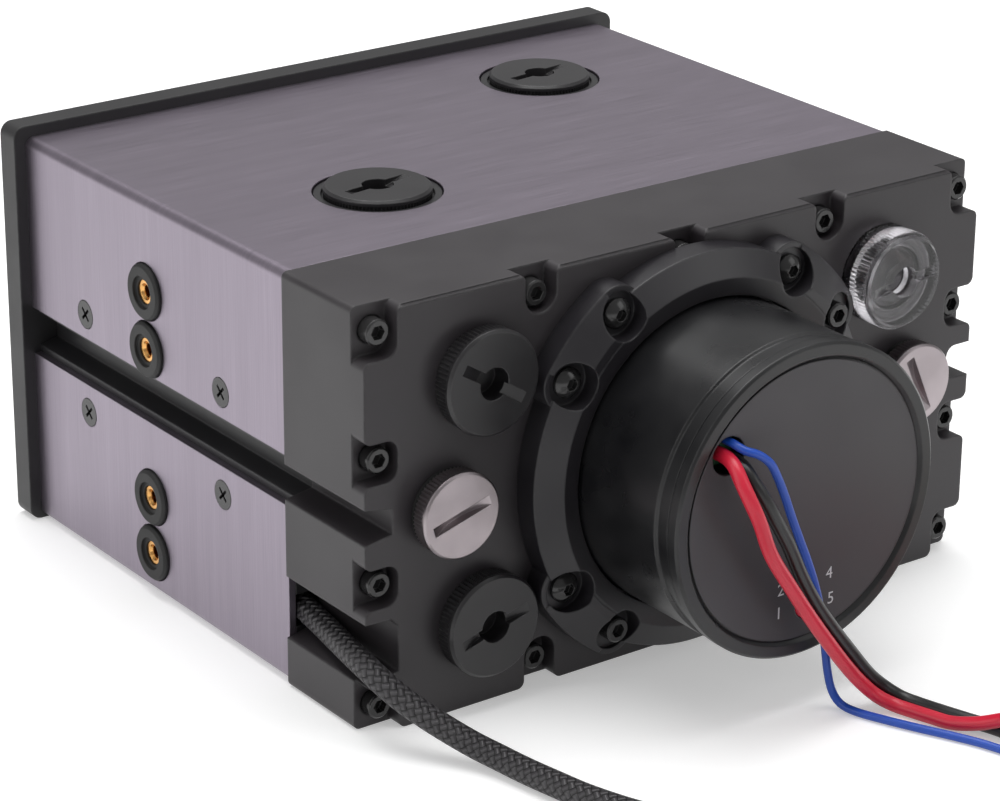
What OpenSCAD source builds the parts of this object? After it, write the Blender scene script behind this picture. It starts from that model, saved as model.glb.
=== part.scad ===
// Dual-bay coolant reservoir with a round canned-motor pump clamped to its rear.
// Millimetres. Front frame towards -Y, pump towards +Y, up is +Z.
// The origin is at the middle of the part's footprint, on the surface it stands on.

/* [Front frame] */
// How far the front frame stands out past the shells on each side
bezel_side_lip = 2.5; // [1.5:0.5:5]
// How far the front frame stands above the shells
bezel_top_lip = 2.3; // [1:0.1:5]
// Thickness of the front frame
bezel_t = 5.5; // [4.5:0.5:8]
// Corner radius of the front frame
bezel_corner_r = 2.5; // [1:0.5:4]
// Width of the border between the tank cavity's edge and the window's edge
window_lap = 4.7; // [4.2:0.1:5]
// Thickness of the clear window
window_t = 3.5; // [2.5:0.5:3.5]

/* [Shells] */
// Length of the brushed shells
shell_len = 94; // [88:1:120]
// Width over the brushed shells
shell_w = 144; // [143:0.5:144.5]
// Thickness of the shell sheet
shell_t = 1.5; // [1:0.1:1.8]
// Radius of the bends
shell_bend_r = 1.9; // [1.9:0.1:3]
// Height of the bottom sheet above the floor
shell_lift = 0.5; // [0.3:0.1:1]
// Gap between the two shells, where the bay rails run
shell_gap = 9.9; // [9.5:0.1:11]

/* [Tank] */
// Thickness of the tank's side walls
tank_side_t = 10; // [9:0.5:12]
// Thickness of the tank's top and bottom walls
tank_top_t = 8.5; // [8.2:0.1:10]
// Corner radius of the tank cavity
cavity_r = 6; // [3:1:10]
// Width of the square seal cord
seal_w = 1.5; // [1.2:0.1:1.6]

/* [Rear housing] */
// Height of the rear housing and of the shells' top
block_h = 82.2; // [81:0.2:84]
// How far the rear housing stands out past the shells on each side
block_side_lip = 0.5; // [0:0.1:1]
// Depth of the rear housing
block_d = 26; // [25:0.5:32]
// Depth of the notches that hold the screw heads
notch_d = 4; // [3.2:0.2:5]
// Half width of a screw notch
notch_half = 4; // [3.6:0.1:4.2]
// Depth of the rail grooves
groove_d = 5.9; // [5.5:0.1:6.2]
// Height of the rail grooves at their mouth
groove_h = 7; // [6.6:0.1:7.4]
// Rounding of the tabs between the notches
tab_r = 1.5; // [0.8:0.1:2]

/* [Pump] */
// Radius of the motor can
can_r = 30.2; // [29:0.1:30.4]
// How far the pump stands behind the rear housing
pump_out = 35.4; // [32:0.2:45]
// Outer radius of the clamp ring
ring_r = 39.2; // [38.8:0.1:39.6]
// Height of the clamp ring's crest
ring_h = 8; // [7:0.1:9]
// Radius of the circle of ring screws
ring_screw_circle = 37.3; // [37:0.1:37.6]
// Radius of the impeller
impeller_r = 18.5; // [16:0.5:20]
// Radius of the steel dome between the water and the motor
dome_r = 13; // [12:0.5:13.5]

/* [Ports] */
// Radius of the threaded port bores
port_r = 5.8; // [5.4:0.1:6]
// Radius of the knurled port plugs
plug_r = 10; // [9.4:0.1:10.2]
// Height of the knurled plug heads
plug_head_h = 4.4; // [3:0.1:5]
// Depth of the knurl
knurl_depth = 0.35; // [0.2:0.05:0.5]
// Thread length of the plugs
plug_thread = 7.5; // [6:0.5:8]
// Radial clearance of threads
thread_gap = 0.1; // [0.05:0.01:0.15]

/* [Fasteners] */
// Screw radius of the housing and ring screws
m3_r = 1.5; // [1.4:0.05:1.5]
// Head radius of the housing and ring screws
m3_head_r = 2.45; // [2.3:0.05:2.85]
// Radial clearance of screws in their holes
screw_gap = 0.12; // [0.05:0.01:0.15]
// Distance between two bay holes of one pair
bay_hole_step = 11.8; // [11.6:0.1:12]
// Distance between the two pairs of bay holes
bay_pitch = 42.7; // [42:0.1:43.4]
// Bore radius of the threaded inserts
insert_bore_r = 1.25; // [1.2:0.05:1.4]

/* [Cables] */
// Diameter of the braided light cable
led_d = 4.8; // [4:0.1:5]
// Diameter of the power leads
lead_d = 2.7; // [2.2:0.1:2.8]
// Diameter of the speed-signal lead
signal_d = 1.6; // [1.2:0.1:1.8]

/* [Hidden] */
$fn = 64;
eps = 0.01;

// Places along Y, from the frame's front to the pump's rear end
bezel_w = shell_w + 2 * bezel_side_lip;
bezel_h = block_h + bezel_top_lip;
block_w = shell_w + 2 * block_side_lip;
depth_all = bezel_t + shell_len + block_d + pump_out;
y_front = -depth_all / 2;
y_bezel = y_front + bezel_t;
y_block = y_bezel + shell_len;
y_rear = y_block + block_d;
y_end = y_rear + pump_out;
mid_z = block_h / 2;

// Tank, which fills the shells
tank_w = shell_w - 2 * shell_t;
tank_z0 = shell_lift + shell_t;
tank_z1 = block_h - shell_t;
cavity_w = tank_w - 2 * tank_side_t;
cavity_z0 = tank_z0 + tank_top_t - 0.5;
cavity_z1 = tank_z1 - tank_top_t;
seal_out = 1.15;
seal_d = 1.4;
seal_room = 0.2;
window_w = cavity_w + 2 * window_lap;
window_h = cavity_z1 - cavity_z0 + 2 * (window_lap - 0.2);
window_z = (cavity_z0 + cavity_z1) / 2;
view_inset = 0.5;

// Rail grooves, the same in tank and housing
groove_z = mid_z + 0.4;
groove_floor_h = groove_h - 2;

// Light cable channel
channel_z0 = 11.7;
channel_z1 = 18.2;
channel_d = 6;
channel_y0 = y_bezel + 9.5;
strip_l = shell_len - 40;

// Screws that hold the rear housing: [x, z]
screw_from_side = 4;
screw_from_end = 4.8;
side_screw_x = block_w / 2 - screw_from_side;
screw_top = block_h - screw_from_end;
screw_low = screw_from_end;
side_screw_z = [for (i = [0:3]) screw_low + i * (screw_top - screw_low) / 3];
top_screw_step = 34.1;
bottom_screw_step = 67;
top_screw_x = [-top_screw_step, 0, top_screw_step];
bottom_screw_x = [-bottom_screw_step / 2, bottom_screw_step / 2];
housing_screw_at = concat(
    [for (s = [-1, 1], z = side_screw_z) [s * side_screw_x, z]],
    [for (x = top_screw_x) [x, screw_top]],
    [for (x = bottom_screw_x) [x, screw_low]]);
notch_wall = 3.2;
top_notch_half = 3.5;
notch_r = 2.6;
core_x = side_screw_x - notch_wall;
core_top = screw_top + 0.2;
core_low = screw_low + 1.3;
corner_z_top = screw_top - notch_half - 0.7;
corner_z_low = screw_low + notch_half + 0.7;
head_h = 3;
button_head_r = 2.95;
head_sink = 0.4;
housing_screw_grip = 10;

// Clamp ring
ring_side_h = 5.2;
lobe_h = 4.8;
ring_crest_r = 34.3;
lip_r = can_r + 0.4;
lip_z = 2.9;
lobe_r = 5.5;
lobe_crest_r = 36.4;
lobe_angles = [33, 57];
pocket_r = 4.4;
pocket_h = 3.9;
ring_screw_at = [for (q = [0, 90, 180, 270], a = lobe_angles) q + a];
cap_head_angles = [147, 303];
ring_screw_grip = 6.5;

// Pump inside the housing, as heights above the housing's rear face
recess_r = can_r + 1.1;
recess_h = -3.5;
flange_r = can_r + 0.8;
flange_h = -1.1;
dome_t = 0.8;
dome_z = flange_h - dome_t;
chamber_r = 23;
chamber_h = -21;
inlet_r = 8;
ball_r = 1.5;
ball_h = dome_z - dome_r - 1.95;
hub_h = -19.8;
rotor_gap = 0.6;
magnet_t = 1.6;
cup_t = 1.4;
can_end_h = pump_out - 3.4;
can_wall = 1.6;
cap_r = can_r + 0.2;
cap_rim_h = pump_out - 2.6;
label_r = 27;
label_h = pump_out - 0.8;
label_t = 0.3;
board_h = pump_out - 9;
board_t = 1.6;
stator_h = 8;
stator_t = 5;
pole_circle = 8.5;

// Speed dial and lead outlet on the end cap: [x, z above the pump's axis]
dial_at = [-1.2, -20.8];
dial_r = 2.6;
dial_gap = 0.08;
outlet_at = [18.6, 13.5];
outlet_r = 3.6;

// Ports on the rear face: [x, z above the middle]
upper_port = [47.5, 23.8];
middle_port = [54.8, 0.2];
lower_port = [46.8, -24.1];
port_depth = 12;
passage_r = 4;
gallery_z = 19.4;
gallery_h = -13;
nickel_r = 8.3;
nickel_h = 3.8;
nickel_teeth = 64;
nickel_lift = 1.2;
clear_r = 9.8;
clear_h = 7.4;
ring_cord_r = 0.7;
ring_cord_at = 7.6;
ring_groove = 1.2;

// Fill ports on top: [x, y]
fill_rear_at = [33.1, y_block - 27.3];
fill_front_at = [-35.8, y_block - 68.3];
boss_r = 12.3;
boss_gap = 0.3;
boss_top = block_h - 0.4;
fill_head_r = 10.5;
fill_head_h = 2.4;
fill_sink = 0.7;

// Bay holes and shell screws: places along Y and Z
bay_y = y_bezel + 45.3;
bay_z = [9, 9 + bay_hole_step, 9 + bay_pitch, 9 + bay_pitch + bay_hole_step];
grommet_r = 5.6;
grommet_gap = 0.2;
grommet_out = 1;
insert_r = 2.4;
insert_len = 7.5;
shell_screw_y = [y_bezel + 21.5, y_bezel + 71.5];
shell_screw_z = [mid_z - 10.4, mid_z + 10.4];
shell_screw_r = 1.4;
shell_screw_head_r = 2.9;
bezel_screw_x = tank_w / 2 - 2.5;
bezel_screw_z = [mid_z - 29, mid_z + 29];
bezel_screw_r = 1.25;

// ---------- placing helpers ----------

// Stands its children on the rear face at x, z; their +Z points out of the face
module on_rear(x = 0, z = mid_z, h = 0) {
    translate([x, y_rear + h, z]) rotate([-90, 0, 0]) children();
}

// Extrudes an outline drawn in X and Z from y0 to y1
module along_y(y0, y1) {
    translate([0, y1, 0]) rotate([90, 0, 0]) linear_extrude(y1 - y0) children();
}

// Turns its children so that +Z points out of the left (-1) or right (+1) side
module out_of_side(s, x, y, z) {
    translate([s * x, y, z]) rotate([0, s * 90, 0]) children();
}

module both_sides() {
    children();
    mirror([1, 0, 0]) children();
}

// Rectangle from corner to corner with round corners
module round_box(x0, z0, x1, z1, r) {
    translate([x0 + r, z0]) square([x1 - x0 - 2 * r, z1 - z0]);
    translate([x0, z0 + r]) square([x1 - x0, z1 - z0 - 2 * r]);
    for (x = [x0 + r, x1 - r], z = [z0 + r, z1 - r]) translate([x, z]) circle(r);
}

module cavity_outline(grow = 0) {
    round_box(-cavity_w / 2 - grow, cavity_z0 - grow,
              cavity_w / 2 + grow, cavity_z1 + grow, cavity_r + grow);
}

// A tapered groove on the +X side and a round-bottomed one on the -X side
module groove_outline(edge_x) {
    floor_x = block_w / 2 - groove_d;
    polygon([[edge_x + 1, groove_z - groove_h / 2], [edge_x, groove_z - groove_h / 2],
             [floor_x, groove_z - groove_floor_h / 2], [floor_x, groove_z + groove_floor_h / 2],
             [edge_x, groove_z + groove_h / 2], [edge_x + 1, groove_z + groove_h / 2]]);
    round_r = 2.2;
    mirror([1, 0]) {
        translate([floor_x + round_r, groove_z - groove_h / 2])
            square([edge_x + 1 - floor_x - round_r, groove_h]);
        translate([floor_x, groove_z - groove_h / 2 + round_r])
            square([round_r + eps, groove_h - 2 * round_r]);
        for (z = [-1, 1]) translate([floor_x + round_r, groove_z + z * (groove_h / 2 - round_r)])
            circle(round_r);
    }
}

// ---------- fasteners ----------

// Socket cap screw, head base at z = 0, shank downwards
module cap_screw(length, r = m3_r, head_r = m3_head_r, h = head_h) {
    translate([0, 0, -length]) cylinder(h = length + eps, r = r);
    difference() {
        union() {
            cylinder(h = h - 0.3, r = head_r);
            translate([0, 0, h - 0.3]) cylinder(h = 0.3, r1 = head_r, r2 = head_r - 0.3);
        }
        translate([0, 0, h - 1.6]) cylinder(h = 2, r = 1.45, $fn = 6);
    }
}

// Button head screw, head base at z = 0
module button_screw(length) {
    dome = 2.2;
    translate([0, 0, -length]) cylinder(h = length + eps, r = m3_r);
    difference() {
        rotate_extrude() intersection() {
            translate([0, -1.6]) circle(r = 3.8);
            square([button_head_r, dome]);
        }
        translate([0, 0, 0.8]) cylinder(h = 2, r = 1.25, $fn = 6);
    }
}

// Flat countersunk screw with a cross recess, head top at z = 0
module flat_screw(length, r, head_r) {
    cone = head_r - r;
    difference() {
        union() {
            translate([0, 0, -length]) cylinder(h = length, r = r);
            translate([0, 0, -cone]) cylinder(h = cone, r1 = r, r2 = head_r);
        }
        for (a = [45, 135]) rotate(a) translate([-1.6, -0.3, -0.9]) cube([3.2, 0.6, 1]);
    }
}

module flat_screw_hole(length, r, head_r) {
    cone = head_r - r;
    translate([0, 0, -length]) cylinder(h = length + 1, r = r + screw_gap);
    translate([0, 0, -cone]) cylinder(h = cone + eps, r1 = r + screw_gap, r2 = head_r + screw_gap);
    cylinder(h = 1, r = head_r + screw_gap);
}

// ---------- front ----------

module window_outline(grow = 0) {
    round_box(-window_w / 2 - grow, window_z - window_h / 2 - grow,
              window_w / 2 + grow, window_z + window_h / 2 + grow, 3 + grow);
}

module at_bezel_screws() {
    for (s = [-1, 1], z = bezel_screw_z)
        translate([s * bezel_screw_x, y_front, z]) rotate([90, 0, 0]) children();
}

module front_bezel() {
    color([0.10, 0.10, 0.105])
    difference() {
        along_y(y_front, y_bezel) round_box(-bezel_w / 2, 0, bezel_w / 2, bezel_h, bezel_corner_r);
        along_y(y_bezel - window_t, y_bezel + 1) window_outline(0.15);
        along_y(y_front - 1, y_bezel) cavity_outline(-view_inset);
        at_bezel_screws() flat_screw_hole(bezel_t + 1, bezel_screw_r, 2.4);
    }
}

module front_window() {
    color([0.75, 0.85, 0.88, 0.35])
    along_y(y_bezel - window_t, y_bezel) window_outline();
}

module bezel_screws() {
    color([0.2, 0.2, 0.2])
    at_bezel_screws() flat_screw(bezel_t + 7, bezel_screw_r, 2.4);
}

// A square cord seal round the cavity, from y0 to y1
module cord_seal(y0, y1) {
    along_y(y0, y1) difference() {
        cavity_outline(seal_out + seal_w);
        cavity_outline(seal_out);
    }
}

module front_seal() {
    color([0.12, 0.12, 0.12]) cord_seal(y_bezel, y_bezel + seal_d);
}

module rear_seal() {
    color([0.12, 0.12, 0.12]) cord_seal(y_block - seal_d, y_block);
}

// ---------- tank and shells ----------

module seal_groove(y0, y1) {
    along_y(y0, y1) difference() {
        cavity_outline(seal_out + seal_w + seal_room);
        cavity_outline(seal_out - seal_room);
    }
}

module at_fill(at, sink = 0) {
    translate([at[0], at[1], boss_top - sink]) children();
}

module tank_outline() {
    c = 1.2;
    w = tank_w / 2;
    polygon([[-w + c, tank_z0], [w - c, tank_z0], [w, tank_z0 + c], [w, tank_z1 - c],
             [w - c, tank_z1], [-w + c, tank_z1], [-w, tank_z1 - c], [-w, tank_z0 + c]]);
}

module tank_body() {
    color([0.13, 0.125, 0.13])
    difference() {
        union() {
            along_y(y_bezel, y_block) difference() {
                tank_outline();
                cavity_outline();
                groove_outline(tank_w / 2);
            }
            for (at = [fill_rear_at, fill_front_at])
                at_fill(at) translate([0, 0, tank_z1 - boss_top - eps])
                    cylinder(h = boss_top - tank_z1 + eps, r = boss_r);
        }
        for (at = [fill_rear_at, fill_front_at])
            at_fill(at) {
                translate([0, 0, -20]) cylinder(h = 21, r = port_r);
                translate([0, 0, -fill_sink]) cylinder(h = 2, r = fill_head_r + 0.4);
            }
        seal_groove(y_bezel - 1, y_bezel + seal_d);
        seal_groove(y_block - seal_d, y_block + 1);
        at_bezel_screws() translate([0, 0, -bezel_t - 7.5])
            cylinder(h = 9, r = bezel_screw_r + screw_gap);
        for (p = housing_screw_at) on_rear(p[0], p[1], -block_d - housing_screw_grip - 0.5)
            cylinder(h = housing_screw_grip + 1, r = m3_r + screw_gap);
        // pockets for the bay inserts
        for (s = [-1, 1], z = bay_z) out_of_side(s, tank_w / 2 - insert_len - 0.2, bay_y, z)
            cylinder(h = insert_len + 1, r = insert_r + screw_gap);
        for (s = [-1, 1], y = shell_screw_y, z = shell_screw_z)
            out_of_side(s, tank_w / 2, y, z) translate([0, 0, -6])
                cylinder(h = 7, r = shell_screw_r + screw_gap);
        // channel for the light strip and its cable, behind the lower shell
        translate([tank_w / 2 - channel_d, channel_y0, channel_z0])
            cube([channel_d + 1, y_block - channel_y0 + 1, channel_z1 - channel_z0]);
    }
}

// Bent sheet: a top or bottom panel with two sides, drawn for the upper shell
module shell_outline(edge_z) {
    w = shell_w / 2;
    inner_r = 0.4;
    difference() {
        union() {
            translate([-w, edge_z]) square([2 * w, block_h - shell_bend_r - edge_z]);
            translate([-w + shell_bend_r, edge_z]) square([2 * (w - shell_bend_r), block_h - edge_z]);
            for (s = [-1, 1]) translate([s * (w - shell_bend_r), block_h - shell_bend_r])
                circle(shell_bend_r);
        }
        translate([-w + shell_t, edge_z - 1])
            square([2 * (w - shell_t), block_h - shell_t - inner_r - edge_z + 1]);
        translate([-w + shell_t + inner_r, edge_z - 1])
            square([2 * (w - shell_t - inner_r), block_h - shell_t - edge_z + 1]);
        for (s = [-1, 1]) translate([s * (w - shell_t - inner_r), block_h - shell_t - inner_r])
            circle(inner_r);
    }
}

module shell_side_holes(zs_bay, z_screw) {
    for (s = [-1, 1]) {
        for (z = zs_bay) out_of_side(s, shell_w / 2 - shell_t - 1, bay_y, z)
            cylinder(h = shell_t + 2, r = grommet_r + grommet_gap);
        for (y = shell_screw_y) out_of_side(s, shell_w / 2, y, z_screw)
            flat_screw_hole(shell_t + 1, shell_screw_r, shell_screw_head_r);
    }
}

module upper_shell() {
    color([0.52, 0.48, 0.53])
    difference() {
        along_y(y_bezel, y_block) shell_outline(groove_z + shell_gap / 2);
        shell_side_holes([bay_z[2], bay_z[3]], shell_screw_z[1]);
        for (at = [fill_rear_at, fill_front_at])
            at_fill(at) translate([0, 0, -3]) cylinder(h = 6, r = boss_r + boss_gap);
    }
}

module lower_shell() {
    color([0.46, 0.42, 0.47])
    difference() {
        translate([0, 0, shell_lift + block_h]) mirror([0, 0, 1])
            along_y(y_bezel, y_block) shell_outline(shell_lift + block_h - groove_z + shell_gap / 2);
        shell_side_holes([bay_z[0], bay_z[1]], shell_screw_z[0]);
    }
}

module shell_screws() {
    color([0.25, 0.24, 0.26])
    for (s = [-1, 1], y = shell_screw_y, z = shell_screw_z)
        out_of_side(s, shell_w / 2, y, z) flat_screw(6.5, shell_screw_r, shell_screw_head_r);
}

module grommets() {
    base = tank_w / 2;
    lip = 0.5;
    color([0.05, 0.05, 0.05])
    for (s = [-1, 1], z = bay_z) out_of_side(s, base, bay_y, z) difference() {
        union() {
            cylinder(h = shell_t + grommet_out - lip, r = grommet_r);
            translate([0, 0, shell_t + grommet_out - lip])
                cylinder(h = lip, r1 = grommet_r, r2 = grommet_r - lip);
        }
        translate([0, 0, -1]) cylinder(h = 6, r = insert_r + 0.05);
        translate([0, 0, shell_t + grommet_out - 0.6]) cylinder(h = 1, r = insert_r + 0.9);
    }
}

module threaded_inserts() {
    color([0.80, 0.55, 0.25])
    for (s = [-1, 1], z = bay_z) out_of_side(s, tank_w / 2 - insert_len, bay_y, z) difference() {
        cylinder(h = insert_len + shell_t + grommet_out - 0.9, r = insert_r);
        translate([0, 0, -1]) cylinder(h = insert_len + 5, r = insert_bore_r);
        translate([0, 0, insert_len + shell_t + grommet_out - 1.5])
            cylinder(h = 1, r1 = insert_bore_r, r2 = insert_bore_r + 0.7);
    }
}

module light_strip() {
    strip_x = tank_w / 2 - channel_d;
    color([0.85, 0.85, 0.8]) {
        translate([strip_x, channel_y0 + 1, channel_z0 + 0.4])
            cube([1.6, strip_l, channel_z1 - channel_z0 - 0.8]);
        for (i = [0:5]) translate([strip_x + 1.6 - eps, channel_y0 + 4 + i * 9, channel_z0 + 1.5])
            cube([1.5, 3.5, 3.5]);
    }
}

module light_cable_boot() {
    color([0.07, 0.07, 0.07])
    translate([led_path[0][0], channel_y0 + 1 + strip_l, led_path[0][2]]) rotate([-90, 0, 0])
        cylinder(h = led_path[0][1] - channel_y0 - 1 - strip_l, r = led_d / 2 + 0.2);
}

// ---------- rear housing ----------

// Outline of the slab behind the screw ledges, with its tabs and notches
module tab_outline() {
    w = block_w / 2;
    inner = 6;
    difference() {
        union() {
            translate([-core_x, core_low]) square([2 * core_x, core_top - core_low]);
            // stock behind the notches, which the round-cornered cuts below shape
            both_sides() {
                for (z = [side_screw_z[1], side_screw_z[2]])
                    translate([core_x - 1, z - notch_half - 1])
                        square([1 + notch_r, 2 * notch_half + 2]);
                for (z = [corner_z_top, corner_z_low - notch_r])
                    translate([core_x - 1, z - 0.5]) square([1 + notch_r, notch_r + 1]);
            }
            // side tabs, between the corner notches, the side notches and the groove
            for (z = [[corner_z_low, side_screw_z[1] - notch_half],
                      [side_screw_z[1] + notch_half, side_screw_z[2] - notch_half],
                      [side_screw_z[2] + notch_half, corner_z_top]])
                both_sides() round_box(core_x - inner, z[0], w, z[1], tab_r);
            // top and bottom tabs
            both_sides() {
                for (x = [[top_notch_half, top_screw_x[2] - top_notch_half],
                          [top_screw_x[2] + top_notch_half, core_x]])
                    round_box(x[0], core_top - inner, x[1], block_h, tab_r);
                round_box(bottom_screw_x[1] + top_notch_half, 0, core_x, core_low + inner, tab_r);
            }
            round_box(bottom_screw_x[0] + top_notch_half, 0,
                      bottom_screw_x[1] - top_notch_half, core_low + inner, tab_r);
        }
        for (x = top_screw_x) translate([x, core_top]) circle(top_notch_half);
        for (x = bottom_screw_x) translate([x, core_low]) circle(top_notch_half);
        both_sides() {
            for (z = [side_screw_z[1], side_screw_z[2]])
                round_box(core_x, z - notch_half, w + 5, z + notch_half, notch_r);
            round_box(core_x, corner_z_top, w + 5, block_h + 5, notch_r);
            round_box(core_x, -5, w + 5, corner_z_low, notch_r);
        }
    }
}

// Cuts the two rail grooves and the light cable's channel along the housing
module housing_side_cuts(y0, y1) {
    channel_floor = tank_w / 2 - channel_d + 0.9;
    along_y(y0, y1) {
        groove_outline(block_w / 2);
        polygon([[block_w / 2 + 1, 9.8], [channel_floor, 11.6], [channel_floor, 20.8],
                 [channel_floor + 1.6, 22.4], [block_w / 2 + 1, 22.6]]);
    }
}

module port_bore(at, through) {
    on_rear(at[0], mid_z + at[1], -port_depth) cylinder(h = port_depth + 1, r = port_r);
    if (through) on_rear(at[0], mid_z + at[1], -block_d - 1) cylinder(h = block_d, r = passage_r);
}

module rear_housing() {
    ledge = y_rear - notch_d;
    bevel = 0.5;
    color([0.16, 0.15, 0.165])
    difference() {
        union() {
            difference() {
                along_y(y_block, ledge) round_box(-block_w / 2, 0, block_w / 2, block_h, 1.2);
                for (p = housing_screw_at) on_rear(p[0], p[1], -notch_d - head_sink)
                    cylinder(h = head_sink + 1, r = m3_head_r + 0.2);
            }
            along_y(ledge - eps, y_rear) tab_outline();
        }
        housing_side_cuts(y_block - 1, y_rear + 1);
        // bevel along the top edge of the rear face
        translate([0, y_rear, block_h]) rotate([45, 0, 0])
            cube([block_w + 2, 2 * bevel, bevel * sqrt(2)], center = true);
        for (p = housing_screw_at) on_rear(p[0], p[1], -block_d - 1)
            cylinder(h = block_d, r = m3_r + screw_gap);
        for (a = ring_screw_at) at_ring(a, -ring_screw_grip - 0.5)
            cylinder(h = ring_screw_grip + 2, r = m3_r + screw_gap);
        on_rear(h = recess_h) cylinder(h = 5, r = recess_r);
        on_rear(h = chamber_h) cylinder(h = -chamber_h, r = chamber_r);
        on_rear(h = -block_d - 1) cylinder(h = block_d, r = inlet_r);
        for (s = [-1, 1]) {
            port_bore([s * upper_port[0], upper_port[1]], false);
            port_bore([s * middle_port[0], middle_port[1]], true);
            port_bore([s * lower_port[0], lower_port[1]], true);
        }
        // pressure gallery from the pump chamber to the two upper ports
        translate([-upper_port[0], y_rear + gallery_h, mid_z + gallery_z]) rotate([0, 90, 0])
            cylinder(h = 2 * upper_port[0], r = passage_r);
    }
}

module housing_screws() {
    color([0.12, 0.12, 0.13])
    for (p = housing_screw_at) on_rear(p[0], p[1], -notch_d - head_sink)
        cap_screw(block_d - notch_d - head_sink + housing_screw_grip);
}

// ---------- pump ----------

// Places its children on the ring's screw circle; a is seen from the front, x to the right
module at_ring(a, h) {
    on_rear(ring_screw_circle * cos(a), mid_z + ring_screw_circle * sin(a), h) children();
}

module lobe_outline() {
    sweep = lobe_angles[1] - lobe_angles[0];
    for (q = [0, 90, 180, 270]) rotate(q + lobe_angles[0]) {
        circle(r = 1);
        for (a = [0, sweep]) rotate(a) translate([ring_screw_circle, 0]) circle(lobe_r);
        intersection() {
            circle(ring_screw_circle + lobe_r - 0.05);
            polygon([[0, 0], [60, 0], [60, 60 * tan(sweep)]]);
        }
    }
}

module pump_ring() {
    color([0.13, 0.125, 0.14])
    difference() {
        union() {
            on_rear() linear_extrude(lobe_h) difference() {
                lobe_outline();
                circle(ring_crest_r - 0.5);
            }
            // the slope runs on outwards between the two screws of a lobe
            for (q = [0, 90, 180, 270]) on_rear() rotate(q + lobe_angles[0])
                rotate_extrude(angle = lobe_angles[1] - lobe_angles[0], $fn = 128)
                    polygon([[33, 0], [ring_screw_circle + lobe_r - 0.15, 0],
                             [ring_screw_circle + lobe_r - 0.15, lobe_h + 0.05],
                             [lobe_crest_r, ring_h - 0.03], [34.7, ring_h - 0.03], [33, 6.5]]);
            on_rear() rotate_extrude($fn = 128)
                polygon([[recess_r, 0], [ring_r, 0], [ring_r, ring_side_h],
                         [ring_crest_r, ring_h], [lip_r, ring_h - 0.8], [lip_r, lip_z],
                         [recess_r, lip_z]]);
        }
        for (a = ring_screw_at) {
            at_ring(a, pocket_h) cylinder(h = ring_h, r = pocket_r);
            at_ring(a, -1) cylinder(h = ring_h, r = m3_r + screw_gap);
        }
    }
}

module ring_screws() {
    color([0.10, 0.10, 0.11])
    for (a = ring_screw_at) at_ring(a, pocket_h) {
        if (len(search(a, cap_head_angles)) > 0) cap_screw(pocket_h + ring_screw_grip);
        else button_screw(pocket_h + ring_screw_grip);
    }
}

module pump_seal() {
    cord = 0.78;
    color([0.08, 0.08, 0.08])
    on_rear(h = (recess_h + dome_z) / 2) rotate_extrude() translate([29, 0]) circle(cord, $fn = 24);
}

module separation_dome() {
    color([0.75, 0.76, 0.78])
    on_rear() {
        rotate_extrude() difference() {
            union() {
                translate([dome_r - 1, dome_z]) square([flange_r - 0.1 - dome_r + 1, dome_t]);
                intersection() {
                    translate([0, dome_z]) circle(dome_r);
                    translate([0, dome_z - dome_r - 1]) square([dome_r + 1, dome_r + 1 + dome_t]);
                }
            }
            intersection() {
                translate([0, dome_z]) circle(dome_r - dome_t);
                translate([0, dome_z - dome_r]) square([dome_r, dome_r + dome_t + 1]);
            }
        }
        translate([0, 0, dome_z - dome_r - 0.4]) cylinder(h = 0.8, r = 0.9);
    }
}

module bearing_ball() {
    color([0.92, 0.92, 0.90])
    on_rear(h = ball_h) sphere(ball_r);
}

module impeller() {
    cup_in = dome_r + rotor_gap;
    cup_out = cup_in + magnet_t + cup_t;
    rim_h = dome_z - 1.3;
    disc_h = -15.6;
    color([0.82, 0.82, 0.80])
    difference() {
        on_rear() {
            rotate_extrude() difference() {
                union() {
                    intersection() {
                        translate([0, dome_z]) circle(cup_out);
                        translate([0, disc_h - 1]) square([cup_out, rim_h - disc_h + 1]);
                    }
                    translate([0, disc_h - 1.2]) square([impeller_r, 1.6]);
                    translate([0, hub_h]) square([3.2, 5]);
                }
                translate([0, dome_z]) intersection() {
                    circle(cup_in);
                    translate([0, -cup_in]) square(2 * cup_in);
                }
                // seat of the magnet
                intersection() {
                    translate([0, dome_z]) circle(cup_in + magnet_t + 0.05);
                    translate([0, -10]) square([cup_out, 12]);
                }
            }
            // backward-swept blades
            for (i = [0:5]) rotate(i * 60) intersection() {
                translate([0, 0, hub_h - 0.4]) linear_extrude(disc_h - hub_h) difference() {
                    translate([6, -10]) circle(14);
                    translate([6, -10]) circle(12.8);
                }
                translate([4, -2, hub_h - 0.4]) cube([impeller_r - 5.2, 8, 6]);
            }
        }
        on_rear(h = ball_h) sphere(ball_r + 0.06);
        on_rear(h = ball_h) cylinder(h = 4, r = ball_r + 0.06);
    }
}

module rotor_magnet() {
    cup_in = dome_r + rotor_gap;
    rim_h = dome_z - 1.3;
    color([0.3, 0.3, 0.32])
    on_rear() rotate_extrude() intersection() {
        difference() {
            translate([0, dome_z]) circle(cup_in + magnet_t);
            translate([0, dome_z]) circle(cup_in);
        }
        translate([0, -9.95]) square([20, 9.95 + rim_h]);
    }
}

module stator_core() {
    color([0.45, 0.45, 0.47])
    on_rear() {
        translate([0, 0, stator_h]) cylinder(h = stator_t, r = can_r - can_wall - 0.3);
        for (i = [0:5]) rotate(i * 60) translate([pole_circle, 0, 0])
            cylinder(h = stator_h + eps, r = 2);
    }
}

module stator_windings() {
    color([0.72, 0.40, 0.20])
    on_rear() for (i = [0:5]) rotate(i * 60) translate([pole_circle, 0, 0.6]) difference() {
        cylinder(h = stator_h - 1, r = 3.8);
        translate([0, 0, -1]) cylinder(h = stator_h + 2, r = 2.1);
    }
}

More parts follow.
